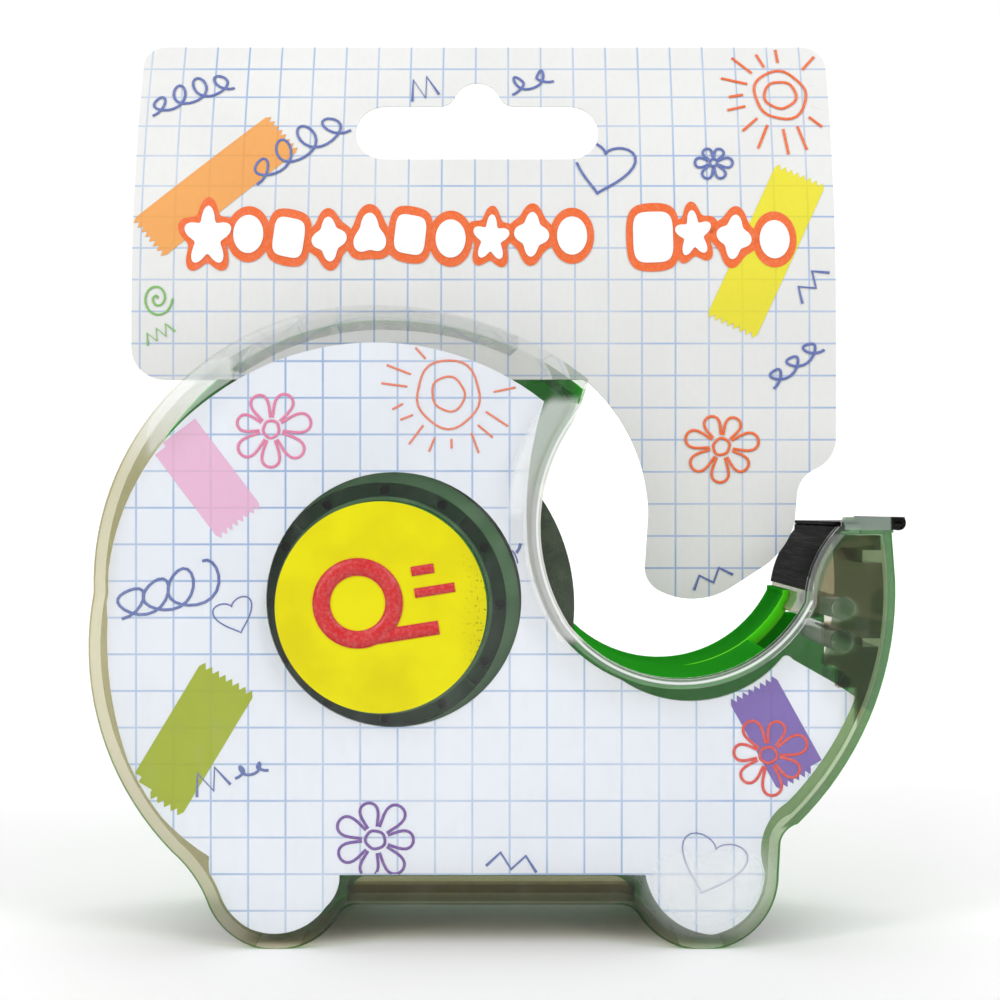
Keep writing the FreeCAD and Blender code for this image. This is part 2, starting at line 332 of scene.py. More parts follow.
    def solid(self, inputs: dict[str, Union[Value, Rgb]]) -> Material:
        """Returns the material with a Principled shader that has these inputs."""
        return self.finish(self.add("ShaderNodeBsdfPrincipled", inputs).outputs[0])


class Finish(Protocol):
    """Anything that can wire up a material."""

    def build(self) -> Material:
        """Returns the finished material."""


@dataclass(frozen=True)
class ClearPlastic:
    """Clear moulding, colourless over the card, with painted light: a tan reflection and green in its walls,
    shade in the arm, highlights.
    """

    name: str = "clear_plastic"
    face: Rgb = (0.992, 0.996, 0.990)
    painted_tan_reflection: Rgb = (0.66, 0.622, 0.46)
    pale_wall: Rgb = (0.982, 0.985, 0.982)
    painted_piped_green: Rgb = (0.12, 0.42, 0.10)
    painted_arm_green: Rgb = (0.30, 0.44, 0.29)
    painted_foot_green: Rgb = (0.47, 0.58, 0.38)
    painted_shade_tint: Rgb = (0.46, 0.43, 0.32)
    haze_and_highlight_milk: Rgb = (0.95, 0.97, 0.96)
    painted_crown_green: Rgb = (0.34, 0.42, 0.36)
    haze: float = 0.004
    wall: float = 1.3
    arm_back: Round = Round(22.30, 1.85, 38.72)
    notch_left: Round = Round(40.24, 9.50, 21.39)
    notch_floor: Round = Round(35.38, 8.11, 16.61)
    card_edge: Round = Round(-0.85, -1.04, 32.48)
    arm: Patch = Patch(51.4, 70.0, -12.5, 20.0, 0.4)
    arm_root: Patch = Patch(44.0, 51.4, -9.0, 3.2, 0.4)
    arm_outer: Patch = Patch(44.0, 70.0, -26.0, 20.0, 0.6)
    arm_top: Patch = Patch(52.6, 70.0, 8.6, 20.0, 0.1)
    arm_rooms: tuple[Patch, ...] = (
        Patch(51.0, 70.0, -1.2, 8.5, 0.15),
        Patch(52.3, 70.0, -6.9, -1.0, 0.15),
        Patch(53.9, 70.0, -9.5, -6.8, 0.15),
        Patch(56.2, 70.0, -15.0, -9.3, 0.3))
    crown: Patch = Patch(54.6, 60.2, 9.1, 20.0, 0.3)
    painted_crown_area: Patch = Patch(53.0, 62.0, 8.6, 20.0, 0.3)
    right_foot: Patch = Patch(36.0, 70.0, -60.0, -8.0, 6.0)
    painted_glare_spot: Round = Round(38.6, -31.0, 4.0)
    painted_glare_patch: Patch = Patch(31.0, 44.0, -32.0, -28.0, 6.0)
    belly: Patch = Patch(-2.4, 27.6, -36.0, -33.0, 1.0)
    belly_wall: Patch = Patch(-4.0, 30.0, -34.7, -32.7, 0.25)
    belly_card: Patch = Patch(-10.0, 30.6, -40.0, -32.3, 0.8)
    notch_bend: Patch = Patch(15.0, 26.0, -4.0, 24.5, 1.5)
    notch_bend_top: Patch = Patch(15.0, 26.0, 11.0, 24.5, 1.5)
    upper_left: Patch = Patch(-27.5, -17.5, 18.0, 29.5, 1.0)
    floor_rail: Patch = Patch(21.0, 51.0, -60.0, 0.8, 0.5)
    left_rail: Patch = Patch(10.0, 30.0, -2.0, 30.0, 0.5)
    peg_x: float = 54.9
    peg_zs: Point = (-0.3, -4.2)
    peg_lefts: Point = (51.8, 50.9)

    def build(self) -> Material:
        """Wires the see-through material with its haze, tint and gloss, and its painted shade, reflection and
        highlights.

        Returns:
            The finished material.
        """
        w = Wiring(self.name)
        clear = w.add("ShaderNodeBsdfTransparent", {"Color": self.tint(w)}).outputs[0]
        # Painted light: the milky part turns grey-green over the top of the arm.
        haze_and_highlight_colour = w.mix(w.patch(self.painted_crown_area), self.haze_and_highlight_milk, self.painted_crown_green)
        haze_and_highlight_milk = w.add("ShaderNodeBsdfDiffuse", {"Color": haze_and_highlight_colour}).outputs[0]
        body = w.add("ShaderNodeMixShader", {0: self.haze_and_painted_highlights(w), 1: clear, 2: haze_and_highlight_milk}).outputs[0]
        ripple = w.bump(w.noise(70.0, 1.0), 0.25, 0.0006)
        rough = w.between(w.noise(240.0, 4.0), 0.3, 0.8, 0.03, 0.12)
        gloss = {"Color": (1.0, 1.0, 1.0), "Roughness": rough, "Normal": ripple}
        shine = w.add("ShaderNodeBsdfGlossy", gloss).outputs[0]
        slope = w.add("ShaderNodeLayerWeight", {"Blend": 0.5, "Normal": ripple}).outputs["Facing"]
        share = w.math("ADD", w.times(w.math("POWER", slope, 5.0), 0.65), 0.022)
        return w.finish(w.add("ShaderNodeMixShader", {0: share, 1: body, 2: shine}).outputs[0])

    def tint(self, w: Wiring) -> Socket:
        """Finds the colour that light takes on in passing one surface, with painted reflection, green and
        shade in it.

        Args:
            w: The material being wired.

        Returns:
            The colour.
        """
        facing = w.facing()
        plate = w.between(facing, 0.88, 0.98)
        colour = w.mix(plate, self.wall_tint(w), self.face)
        # Painted light: green where the rounded edge carries light from the rear shell.
        colour = w.mix(self.painted_piping(w, facing), colour, self.painted_piped_green)
        inner = self.arm_back.radius - self.wall
        reach = w.distance(self.arm_back.x, self.arm_back.z)
        inside = w.fade(reach, (inner - 0.1) * MM, (inner + 0.1) * MM)
        # Painted shade: the open room inside the arm is darkened, less over the pegs.
        colour = w.mix(w.times(self.arm_room(w), inside, plate), colour, self.painted_shade_tint)
        # Painted light: the arm's outer walls and top are tinted green for light carried through them.
        outer = w.times(w.patch(self.arm_outer), plate, w.rest(inside))
        top = w.times(w.patch(self.arm_top), plate)
        colour = w.mix(w.most(outer, top), colour, self.painted_arm_green)
        # Painted shade: a darkened band along the belly wall.
        return w.mix(w.times(w.patch(self.belly_wall), plate), colour, self.painted_shade_tint)

    def wall_tint(self, w: Wiring) -> Socket:
        """Finds the colour of the side walls, from the pale top round to the arm, with painted tan
        reflection, green and shade.

        Args:
            w: The material being wired.

        Returns:
            The colour.
        """
        # Painted reflection: the walls are tinted tan lower down and stay clear towards the top.
        top = w.between(w.axis("Z", DATUM.z), 14 * MM, 30 * MM)
        wall = w.mix(top, self.painted_tan_reflection, self.pale_wall)
        # Painted light: the right foot's and the arm's walls are tinted green for light carried through them.
        wall = w.mix(w.patch(self.right_foot), wall, self.painted_foot_green)
        wall = w.mix(w.patch(self.arm), wall, self.painted_arm_green)
        # Painted shade: darkened at the arm's root.
        return w.mix(w.patch(self.arm_root), wall, self.painted_shade_tint)

    def painted_piping(self, w: Wiring, facing: Socket) -> Socket:
        """Finds where painted green stands for light that the rounded edge carries from the rear shell.

        Args:
            w: The material being wired.
            facing: How squarely the surface faces the front.

        Returns:
            1 where the green is painted.
        """
        edge = w.times(w.between(facing, 0.05, 0.20), w.fade(facing, 0.80, 0.97))
        low = w.fade(w.axis("Z", DATUM.z), -24 * MM, -4 * MM)
        right = w.between(w.axis("X", DATUM.x), 42 * MM, 48 * MM)
        return w.times(edge, w.most(w.times(low, 0.8), right), w.rest(w.patch(self.belly)))

    def arm_room(self, w: Wiring) -> Socket:
        """Finds the open room inside the arm, beside the stepped end of the green shell, where painted shade
        goes.

        Args:
            w: The material being wired.

        Returns:
            1 over the room, less over the pegs.
        """
        room = w.most(*[w.patch(part) for part in self.arm_rooms])
        for z, left in zip(self.peg_zs, self.peg_lefts):
            stem = w.patch(Patch(left, self.peg_x, z - 1.45, z + 1.45, 0.3))
            tip = w.fade(w.distance(self.peg_x, z), 1.35 * MM, 1.6 * MM)
            room = w.times(room, w.rest(w.times(w.most(stem, tip), 0.55)))
        return room

    def haze_and_painted_highlights(self, w: Wiring) -> Socket:
        """Finds how milky the moulding is: real scuffs and haze, and painted highlights on bends, the rail,
        the right foot and two thick pegs.

        Args:
            w: The material being wired.

        Returns:
            The share of the milky mix, partly painted highlight.
        """
        scuffs = w.between(w.noise(520.0, 6.0, (1.0, 1.0, 0.35)), 0.52, 0.78, 0.0, 0.03)
        front = w.fade(w.axis("Y", DATUM.front), 0.3 * MM, 0.5 * MM)
        skin = w.times(w.between(w.facing(), 0.88, 0.98), front)
        # Painted light: a grey-green milky patch over the top of the arm.
        crown = w.times(w.patch(self.crown), 0.62)
        # Painted highlights on the bends, the top of the arm and the rail; scuffs and haze are the plastic's
        # own.
        painted_highlights = w.most(w.times(w.most(self.bends(w), crown), skin), self.rail(w))
        dust_and_painted_highlights = w.math("ADD", w.math("ADD", scuffs, self.haze), w.math("ADD", self.painted_glare(w, skin), painted_highlights))
        return w.most(dust_and_painted_highlights, self.pegs(w))

    def painted_glare(self, w: Wiring, skin: Socket) -> Socket:
        """Finds a painted glare, as milky streaks, on the front of the right foot.

        Args:
            w: The material being wired.
            skin: 1 on the front skin.

        Returns:
            The share of the milky mix.
        """
        streaks = w.between(w.noise(120.0, 4.0, (0.5, 1.0, 1.2)), 0.2, 0.8, 0.8, 1.0)
        spot = self.painted_glare_spot
        # Painted highlight: a soft glare round a spot on the foot.
        middle = w.fade(w.distance(spot.x, spot.z), spot.radius * MM, 9.5 * MM)
        foot = w.most(middle, w.patch(self.painted_glare_patch))
        foot = w.times(foot, w.between(w.axis("Z", DATUM.z), -32.0 * MM, -25.0 * MM, 0.50, 0.0))
        return w.times(foot, streaks, skin, w.rest(w.patch(self.belly_card)))

    def bends(self, w: Wiring) -> Socket:
        """Finds painted highlights on the bends of the plate beside the notch and at the upper left, where
        they reflect light.

        Args:
            w: The material being wired.

        Returns:
            The share of the milky mix.
        """
        edge = self.notch_left
        reach = w.distance(edge.x, edge.z)
        near = w.times(w.fade(reach, (edge.radius + 1.9) * MM, (edge.radius + 2.2) * MM),
                       w.patch(self.notch_bend))
        high = w.times(w.fade(reach, (edge.radius + 3.4) * MM, (edge.radius + 4.6) * MM),
                       w.patch(self.notch_bend_top))
        card = self.card_edge
        on_card = w.fade(w.distance(card.x, card.z), (card.radius - 0.1) * MM, (card.radius + 0.1) * MM)
        corner = w.times(w.patch(self.upper_left), w.rest(on_card))
        return w.most(w.times(w.most(near, high), 0.46), w.times(corner, 0.30))

    def rail(self, w: Wiring) -> Socket:
        """Finds the rail round the notch: a faint painted sheen over it and a painted highlight line along
        its top.

        Args:
            w: The material being wired.

        Returns:
            The share of the milky mix.
        """
        lines = []
        for edge, area in ((self.notch_floor, self.floor_rail), (self.notch_left, self.left_rail)):
            off = w.math("SUBTRACT", w.distance(edge.x, edge.z), (edge.radius + 0.42) * MM)
            line = w.fade(w.math("ABSOLUTE", off), 0.08 * MM, 0.24 * MM)
            lines.append(w.times(line, w.patch(area)))
        proud = w.rest(w.between(w.axis("Y", DATUM.front), -0.30 * MM, -0.05 * MM))
        return w.times(proud, w.math("ADD", w.times(w.most(*lines), 0.62), 0.13))

    def pegs(self, w: Wiring) -> Socket:
        """Finds the two thick pegs in the arm, painted pale as if lit.

        Args:
            w: The material being wired.

        Returns:
            The share of the milky mix.
        """
        found = [w.fade(w.distance(self.peg_x, z), 1.35 * MM, 1.55 * MM) for z in self.peg_zs]
        deep = w.between(w.axis("Y", DATUM.front), 1.3 * MM, 2.0 * MM, 0.0, 0.42)
        return w.times(w.most(*found), deep)


@dataclass(frozen=True)
class MouldedPlastic:
    """Coloured moulding with faint flow marks in its colour and gloss, and a painted lime glow along an edge
    in the arm.
    """

    name: str
    deep: Rgb
    bright: Rgb
    painted_lime_glow: Rgb = linear(96, 214, 40)
    seam: float = 12.0
    painted_glow_patch: Patch = Patch(38.0, 60.0, -10.0, 6.0, 2.0)
    notch: Round = Round(35.2, 7.7, 17.8)

    def build(self) -> Material:
        """Wires the moulded material.

        Returns:
            The finished material.
        """
        w = Wiring(self.name)
        colour = w.mix(w.between(w.noise(38.0, 2.0), 0.25, 0.80, 0.40, 0.62), self.deep, self.bright)
        seam = w.math("ABSOLUTE", w.axis("Y", DATUM.front + self.seam * MM))
        # Painted light: a lime glow along the shell's front edge in the arm.
        glow = w.times(w.between(seam, 0.15 * MM, 0.5 * MM, 0.9, 0.0), w.patch(self.painted_glow_patch))
        reach = w.distance(self.notch.x, self.notch.z)
        gloss = w.between(reach, self.notch.radius * MM, (self.notch.radius + 1.0) * MM, 0.0, 0.30)
        return w.solid({
            "Base Color": w.mix(glow, colour, self.painted_lime_glow),
            "Roughness": w.between(w.noise(300.0, 4.0), 0.25, 0.8, 0.22, 0.40),
            "Subsurface Weight": 0.85, "Subsurface Radius": (0.25, 1.0, 0.18), "Subsurface Scale": 0.005,
            "Specular IOR Level": gloss, "Normal": w.bump(w.noise(1900.0, 2.0), 0.06, 0.00002)})


@dataclass(frozen=True)
class Squares:
    """Printed squares: their size and the place of one corner, in millimetres."""

    cell_x: float
    cell_z: float
    start_x: float
    start_z: float


@dataclass(frozen=True)
class SquaredCard:
    """Coated card printed with pale blue squares; also used, in other colours, for printed strips."""

    name: str
    paper: Rgb
    line: Rgb
    squares: Squares
    strength: float = 0.8
    half_line: float = 0.13

    def build(self) -> Material:
        """Wires the printed card, its lines fading a little from place to place.

        Returns:
            The finished material.
        """
        w = Wiring(self.name)
        cells = self.squares
        half = self.half_line * MM
        up = w.rule(w.axis("X", DATUM.x), cells.start_x * MM, cells.cell_x * MM, half)
        across = w.rule(w.axis("Z", DATUM.z), cells.start_z * MM, cells.cell_z * MM, half)
        fade = w.between(w.noise(60.0, 2.0), 0.25, 0.75, 0.45, 1.0)
        lines = w.times(w.most(up, across), fade, self.strength)
        fibre = w.noise(1500.0, 4.0, (1.0, 1.0, 0.5))
        darker, darkest = (tuple(value * share for value in self.paper) for share in (0.93, 0.8))
        shade = w.mix(w.between(w.noise(35.0, 3.0), 0.3, 0.75), self.paper, darker)
        shade = w.mix(w.between(fibre, 0.35, 0.8, 0.0, 0.12), shade, darkest)
        return w.solid({
            "Base Color": w.mix(lines, shade, self.line),
            "Roughness": w.between(fibre, 0.3, 0.8, 0.38, 0.6), "Specular IOR Level": 0.4,
            "Normal": w.bump(fibre, 0.1, 0.00002)})


@dataclass(frozen=True)
class PrintInk:
    """One printed ink, a little uneven over its area."""

    tone: Tone

    def build(self) -> Material:
        """Wires the ink.

        Returns:
            The finished material.
        """
        w = Wiring("ink_" + self.tone.name.lower())
        patch = w.between(w.noise(2600.0, 4.0), 0.35, 0.85)
        pale = tuple(value + (0.9 - value) * 0.10 for value in self.tone.value)
        return w.solid({
            "Base Color": w.mix(patch, self.tone.value, pale),
            "Roughness": w.between(w.noise(500.0), 0.3, 0.7, 0.32, 0.5)})


@dataclass(frozen=True)
class BladeSteel:
    """Rolled strip steel with drag marks along the strip and a brown bloom."""

    name: str = "blade_steel"

    def build(self) -> Material:
        """Wires the steel.

        Returns:
            The finished material.
        """
        w = Wiring(self.name)
        drag = w.noise(90.0, 5.0, (30.0, 1.2, 30.0))
        bloom = w.between(w.noise(320.0, 5.0), 0.5, 0.75)
        # Painted reflection: the steel is coloured near black for the dark surroundings it reflects; its drag
        # marks and brown bloom are its own.
        colour = w.mix(w.between(drag, 0.3, 0.75), linear(20, 21, 20), linear(52, 52, 49))
        return w.solid({
            "Base Color": w.mix(w.times(bloom, 0.4), colour, linear(74, 50, 36)),
            "Metallic": 0.9, "Specular Tint": (0.10, 0.10, 0.10),
            "Roughness": w.between(drag, 0.3, 0.8, 0.24, 0.46), "Normal": w.bump(drag, 0.2, 0.00004)})


@dataclass(frozen=True)
class YellowLabel:
    """Gloss yellow label, grimy where thumbs rub its right-hand edge."""

    name: str = "label_yellow"

    def build(self) -> Material:
        """Wires the label's paper.

        Returns:
            The finished material.
        """
        w = Wiring(self.name)
        base = w.mix(w.between(w.noise(120.0), 0.3, 0.7), linear(232, 224, 0), linear(220, 208, 0))
        side = w.between(w.axis("X", DATUM.x), 8.8 * MM, 12.2 * MM)
        specks = w.between(w.noise(2400.0, 6.0), 0.56, 0.66)
        grime = w.most(w.times(side, specks, 0.75), w.times(side, 0.12))
        return w.solid({
            "Base Color": w.mix(grime, base, linear(96, 92, 30)),
            "Roughness": w.between(w.noise(700.0), 0.3, 0.8, 0.3, 0.45),
            "Specular IOR Level": 0.25, "Normal": w.bump(w.noise(1600.0, 3.0), 0.08, 0.00002)})


@dataclass(frozen=True)
class CorePlastic:
    """Grey-green ring, paler on its outer lip and its sleeve than in the race, with painted shade where it
    lies set back.
    """

    name: str = "core_plastic"

    def build(self) -> Material:
        """Wires the core's plastic.

        Returns:
            The finished material.
        """
        w = Wiring(self.name)
        reach = w.distance()
        lip = w.most(w.between(reach, 14.72 * MM, 14.90 * MM), w.fade(reach, 13.06 * MM, 13.18 * MM))
        marks = w.between(w.noise(260.0, 4.0), 0.3, 0.75)
        race = w.mix(marks, linear(26, 66, 36), linear(42, 82, 48))
        rim = w.mix(marks, linear(74, 112, 76), linear(96, 132, 96))
        depth = w.axis("Y", DATUM.front)
        # Painted shade: darker where the core lies 4.2 to 8 mm behind the plate's front.
        painted_pit_shade = w.times(w.between(depth, 4.22 * MM, 4.30 * MM), w.fade(depth, 7 * MM, 8 * MM))
        return w.solid({
            "Base Color": w.mix(painted_pit_shade, w.mix(lip, race, rim), linear(26, 42, 28)), "Specular IOR Level": 0.12,
            "Roughness": w.between(marks, 0.0, 1.0, 0.34, 0.5),
            "Normal": w.bump(w.noise(1700.0, 2.0), 0.12, 0.00003)})


@dataclass(frozen=True)
class WoundFilm:
    """Wound roll: fine laps in olive, with slightly glossy edges."""

    name: str = "tape_film"
    lap: float = 0.16 * MM

    def build(self) -> Material:
        """Wires the roll's film.

        Returns:
            The finished material.
        """
        w = Wiring(self.name)
        turns = w.math("DIVIDE", w.distance(), self.lap)
        wave = w.math("SINE", w.times(turns, 2 * math.pi))
        drift = w.noise(380.0, 4.0)
        height = w.math("ADD", w.times(wave, 0.35), drift)
        return w.solid({
            "Base Color": w.mix(w.between(height, 0.2, 1.0), linear(32, 46, 32), linear(70, 84, 60)),
            "Roughness": w.between(drift, 0.3, 0.8, 0.16, 0.36),
            "Coat Weight": 0.5, "Coat Roughness": 0.05, "Normal": w.bump(height, 0.3, 0.00004)})


@dataclass(frozen=True)
class StudioPaper:
    """Plain pale sweep that the object stands on."""

    name: str = "studio_paper"

    def build(self) -> Material:
        """Wires the sweep's paper.

        Returns:
            The finished material.
        """
        w = Wiring(self.name)
        colour = w.mix(w.between(w.noise(6.0), 0.3, 0.7), (0.93, 0.93, 0.93), (0.90, 0.90, 0.90))
        return w.solid({"Base Color": colour, "Roughness": 0.85})


class InkPress:
    """Lays thin artwork on the front of one piece and keeps it as one mesh for each ink."""

    layer_step = 0.55
    line_height = 0.09
    outline_sides = 60

    def __init__(self, node: str, lift: float) -> None:
        """Gets ready to print.

        Args:
            node: The CAD node that carries the print.
            lift: How far the ink stands off its surface, in millimetres.
        """
        self.node = node
        self.lift = lift * MM
        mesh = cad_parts[node].data
        mesh.calc_loop_triangles()
        corners = [v.co.copy() for v in mesh.vertices]
        faces = [tuple(t.vertices) for t in mesh.loop_triangles]
        self.surface = BVHTree.FromPolygons(corners, faces)

    def skin(self, x: float, z: float) -> float | None:
        """Returns the depth of the front surface at a place in metres, or nothing off the piece."""
        hit = self.surface.ray_cast(Vector((x, -1.0, z)), Vector((0.0, 1.0, 0.0)))[0]
        return None if hit is None else hit.y

    def press(self, piece: bmesh.types.BMesh, name: str, material: Material, layer: int = 0,
              flatten: float = 0.0) -> Thing:
        """Follows the surface with flat artwork and hands it over as a piece.

        Args:
            piece: The artwork in millimetres from the datum, lying in the XZ plane.
            name: Name of the new piece.
            material: Its ink.
            layer: Number of inks already below it.
            flatten: Share of the artwork's own thickness to keep.

        Returns:
            The new object, riding on the housing.
        """
        lost = []
        for vertex in piece.verts:
            spot = DATUM.at(vertex.co.x, 0.0, vertex.co.z)
            depth = self.skin(spot.x, spot.z)
            if depth is None:
                lost.append(vertex)
                continue
            thick = vertex.co.y * MM * flatten
            vertex.co = Vector((spot.x, depth - self.lift * (1 + self.layer_step * layer) + thick, spot.z))
        bmesh.ops.delete(piece, geom=lost, context="VERTS")
        mesh = bpy.data.meshes.new(name)
        piece.to_mesh(mesh)
        piece.free()
        mesh.materials.append(material)
        thing = bpy.data.objects.new(name, mesh)
        bpy.context.scene.collection.objects.link(thing)
        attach(thing, HOUSING)
        return thing

    def ink(self, tone: Tone) -> Material:
        """Returns the ink of that tone, made once for all presses."""
        name = "ink_" + tone.name.lower()
        return bpy.data.materials.get(name) or PrintInk(tone).build()

    def draw(self, name: str, strokes: list[Stroke], tone: Tone, width: float = 0.40,
             layer: int = 1) -> Thing:
        """Prints pen lines.

        Args:
            name: Name of the new piece.
            strokes: Lines in millimetres; one that ends where it starts is closed.
            tone: Ink.
            width: Width of the line in millimetres.
            layer: Number of inks already below it.

        Returns:
            The new object.
        """
        curve = bpy.data.curves.new(name, "CURVE")
        curve.dimensions = "3D"
        curve.bevel_depth = width / 2
        curve.bevel_resolution = 1
        curve.use_fill_caps = True
        for stroke in strokes:
            spline = curve.splines.new("POLY")
            closed = math.dist(stroke[0], stroke[-1]) < 1e-6
            points = stroke[:-1] if closed else stroke
            spline.points.add(len(points) - 1)
            for point, (x, z) in zip(spline.points, points):
                point.co = (x, 0.0, z, 1.0)
            spline.use_cyclic_u = closed
        holder = bpy.data.objects.new(name + "_line", curve)
        mesh = bpy.data.meshes.new_from_object(holder)
        piece = bmesh.new()
        piece.from_mesh(mesh)
        bpy.data.objects.remove(holder)
        bpy.data.curves.remove(curve)
        bpy.data.meshes.remove(mesh)
        return self.press(piece, name, self.ink(tone), layer, self.line_height)

    def fill(self, name: str, centre: Point, radius: Outline, tone: Tone, layer: int, tilt: float = 0.0,
             tall: float = 1.0) -> Thing:
        """Prints a solid shape round a centre.

        Args:
            name: Name of the new piece.
            centre: Its middle in millimetres.
            radius: Distance from the middle to the edge, by angle in radians.
            tone: Ink.
            layer: Number of inks already below it.
            tilt: Turn of the shape in degrees.
            tall: Stretch of the shape in height.

        Returns:
            The new object.
        """
        piece = bmesh.new()
        bmesh.ops.create_circle(piece, cap_ends=True, cap_tris=True, segments=self.outline_sides, radius=1.0)
        for vertex in piece.verts:
            angle = math.atan2(vertex.co.y, vertex.co.x)
            reach = radius(angle) * vertex.co.length
            turn = angle + math.radians(tilt)
            height = tall * reach * math.sin(turn)
            vertex.co = Vector((centre[0] + reach * math.cos(turn), 0.0, centre[1] + height))
        return self.press(piece, name, self.ink(tone), layer)


class Drawing(Protocol):
    """Anything that can be drawn with a pen."""

    def strokes(self) -> list[Stroke]:
        """Returns the pen lines in millimetres."""


def pen_lines(*drawings: Drawing) -> list[Stroke]:
    """Returns the pen lines of several drawings, in order."""
    return [stroke for drawing in drawings for stroke in drawing.strokes()]


def around(x: float, z: float, reach: float, angle: float) -> Point:
    """Returns the point at a distance and an angle from a middle."""
    return (x + reach * math.cos(angle), z + reach * math.sin(angle))


def course(start: Point, end: Point) -> tuple[float, float, float]:
    """Returns the distance between two points and the direction from one to the other."""
    length = math.dist(start, end)
    return length, (end[0] - start[0]) / length, (end[1] - start[1]) / length


def wobbly_ring(x: float, z: float, radius: float, rng: random.Random) -> Stroke:
    """Draws a loose ring.

    Args:
        x: Middle, to the right.
        z: Middle, upwards.
        radius: Mean radius.
        rng: Seeded source of the wobble.

    Returns:
        A closed line.
    """
    phase = rng.uniform(0, 6.28)
    line = []
    for k in range(33):
        a = 2 * math.pi * k / 32
        r = radius * (1 + 0.05 * math.sin(2 * a + phase) + 0.03 * math.sin(5 * a + 2 * phase))
        line.append(around(x, z, r, a))
    line[-1] = line[0]
    return line


@dataclass
class Sun:
    """Hand-drawn sun: two loose rings and a circle of rays."""

    x: float
    z: float
    inner: float = 1.6
    outer: float = 2.9
    near: float = 4.0
    far: float = 6.6
    rays: int = 14
    seed: int = 1

    def strokes(self) -> list[Stroke]:
        """Draws the rings, then the rays.

        Returns:
            The pen lines.
        """
        rng = random.Random(self.seed)
        lines = [wobbly_ring(self.x, self.z, r, rng) for r in (self.inner, self.outer)]
        for i in range(self.rays):
            a = 2 * math.pi * (i + rng.uniform(-0.2, 0.2)) / self.rays
            b = a + rng.uniform(-0.06, 0.06)
            start = self.near * rng.uniform(0.92, 1.08)
            end = self.far * rng.uniform(0.82, 1.05)
            lines.append([around(self.x, self.z, start, a), around(self.x, self.z, end, b)])
        return lines


@dataclass
class Flower:
    """Hand-drawn flower: a ring and round petals."""

    x: float
    z: float
    heart: float = 1.5
    reach: float = 4.2
    petals: int = 7
    tilt: float = 0.0
    seed: int = 2

    def strokes(self) -> list[Stroke]:
        """Draws the ring, then each petal.

        Returns:
            The pen lines.
        """
        rng = random.Random(self.seed)
        lines = [wobbly_ring(self.x, self.z, self.heart * 0.7, rng)]
        half = math.pi / self.petals * 1.05
        for i in range(self.petals):
            mid = math.radians(self.tilt) + 2 * math.pi * i / self.petals
            reach = self.reach * rng.uniform(0.9, 1.08)
            petal = []
            for k in range(15):
                t = k / 14
                a = mid + half * (2 * t - 1) * (0.75 + 0.45 * math.sin(math.pi * t))
                r = self.heart + (reach - self.heart) * math.sin(math.pi * t) ** 0.55
                petal.append(around(self.x, self.z, r, a))
            lines.append(petal)
        return lines


@dataclass
class Heart:
    """Hand-drawn heart."""

    x: float
    z: float
    size: float = 3.4
    tilt: float = 0.0

    def strokes(self) -> list[Stroke]:
        """Draws the outline.

        Returns:
            One closed pen line.
        """
        line = []
        turn = math.radians(self.tilt)
        for k in range(41):
            t = 2 * math.pi * k / 40
            u = self.size * math.sin(t) ** 3
            v = self.size * (0.81 * math.cos(t) - 0.31 * math.cos(2 * t) - 0.12 * math.cos(3 * t))
            line.append((self.x + u * math.cos(turn) - v * math.sin(turn),
                         self.z + u * math.sin(turn) + v * math.cos(turn)))
        line[-1] = line[0]
        return [line]


@dataclass
class Coil:
    """Loose row of pen loops, as from trying out a pen."""

    start: Point
    end: Point
    height: float = 2.0
    loops: float = 4.0
    lean: float = 0.9

    def strokes(self) -> list[Stroke]:
        """Draws the loops from start to end.

        Returns:
            One pen line.
        """
        length, ux, uz = course(self.start, self.end)
        steps = int(self.loops * 18)
        line = []
        for k in range(steps + 1):
            t = k / steps
            a = 2 * math.pi * self.loops * t
            along = t * length + self.lean * self.height * 0.5 * math.sin(a)
            off = self.height * 0.5 * (1 - math.cos(a)) * (0.8 + 0.2 * math.cos(3.1 * a / self.loops))
            line.append((self.start[0] + ux * along - uz * off, self.start[1] + uz * along + ux * off))
        return [line]


@dataclass
class Spiral:
    """Pen spiral, a little taller than wide."""

    x: float
    z: float
    size: float = 2.4
    turns: float = 2.5

    def strokes(self) -> list[Stroke]:
        """Draws the spiral from its middle.

        Returns:
            One pen line.
        """
        steps = int(self.turns * 20)
        line = []
        for k in range(steps + 1):
            t = k / steps
            a = 2 * math.pi * self.turns * t
            line.append((self.x + self.size * t * math.cos(a), self.z + 1.2 * self.size * t * math.sin(a)))
        return [line]


@dataclass
class Zigzag:
    """Pen zigzag between two points."""

    start: Point
    end: Point
    height: float = 1.4
    turns: int = 5

    def strokes(self) -> list[Stroke]:
        """Draws the zigzag from start to end.

        Returns:
            One pen line.
        """
        length, ux, uz = course(self.start, self.end)
        line = []
        for k in range(self.turns * 2 + 1):
            along = k / (self.turns * 2) * length
            off = self.height * (0.5 if k % 2 else -0.5)
            line.append((self.start[0] + ux * along - uz * off, self.start[1] + uz * along + ux * off))
        return [line]


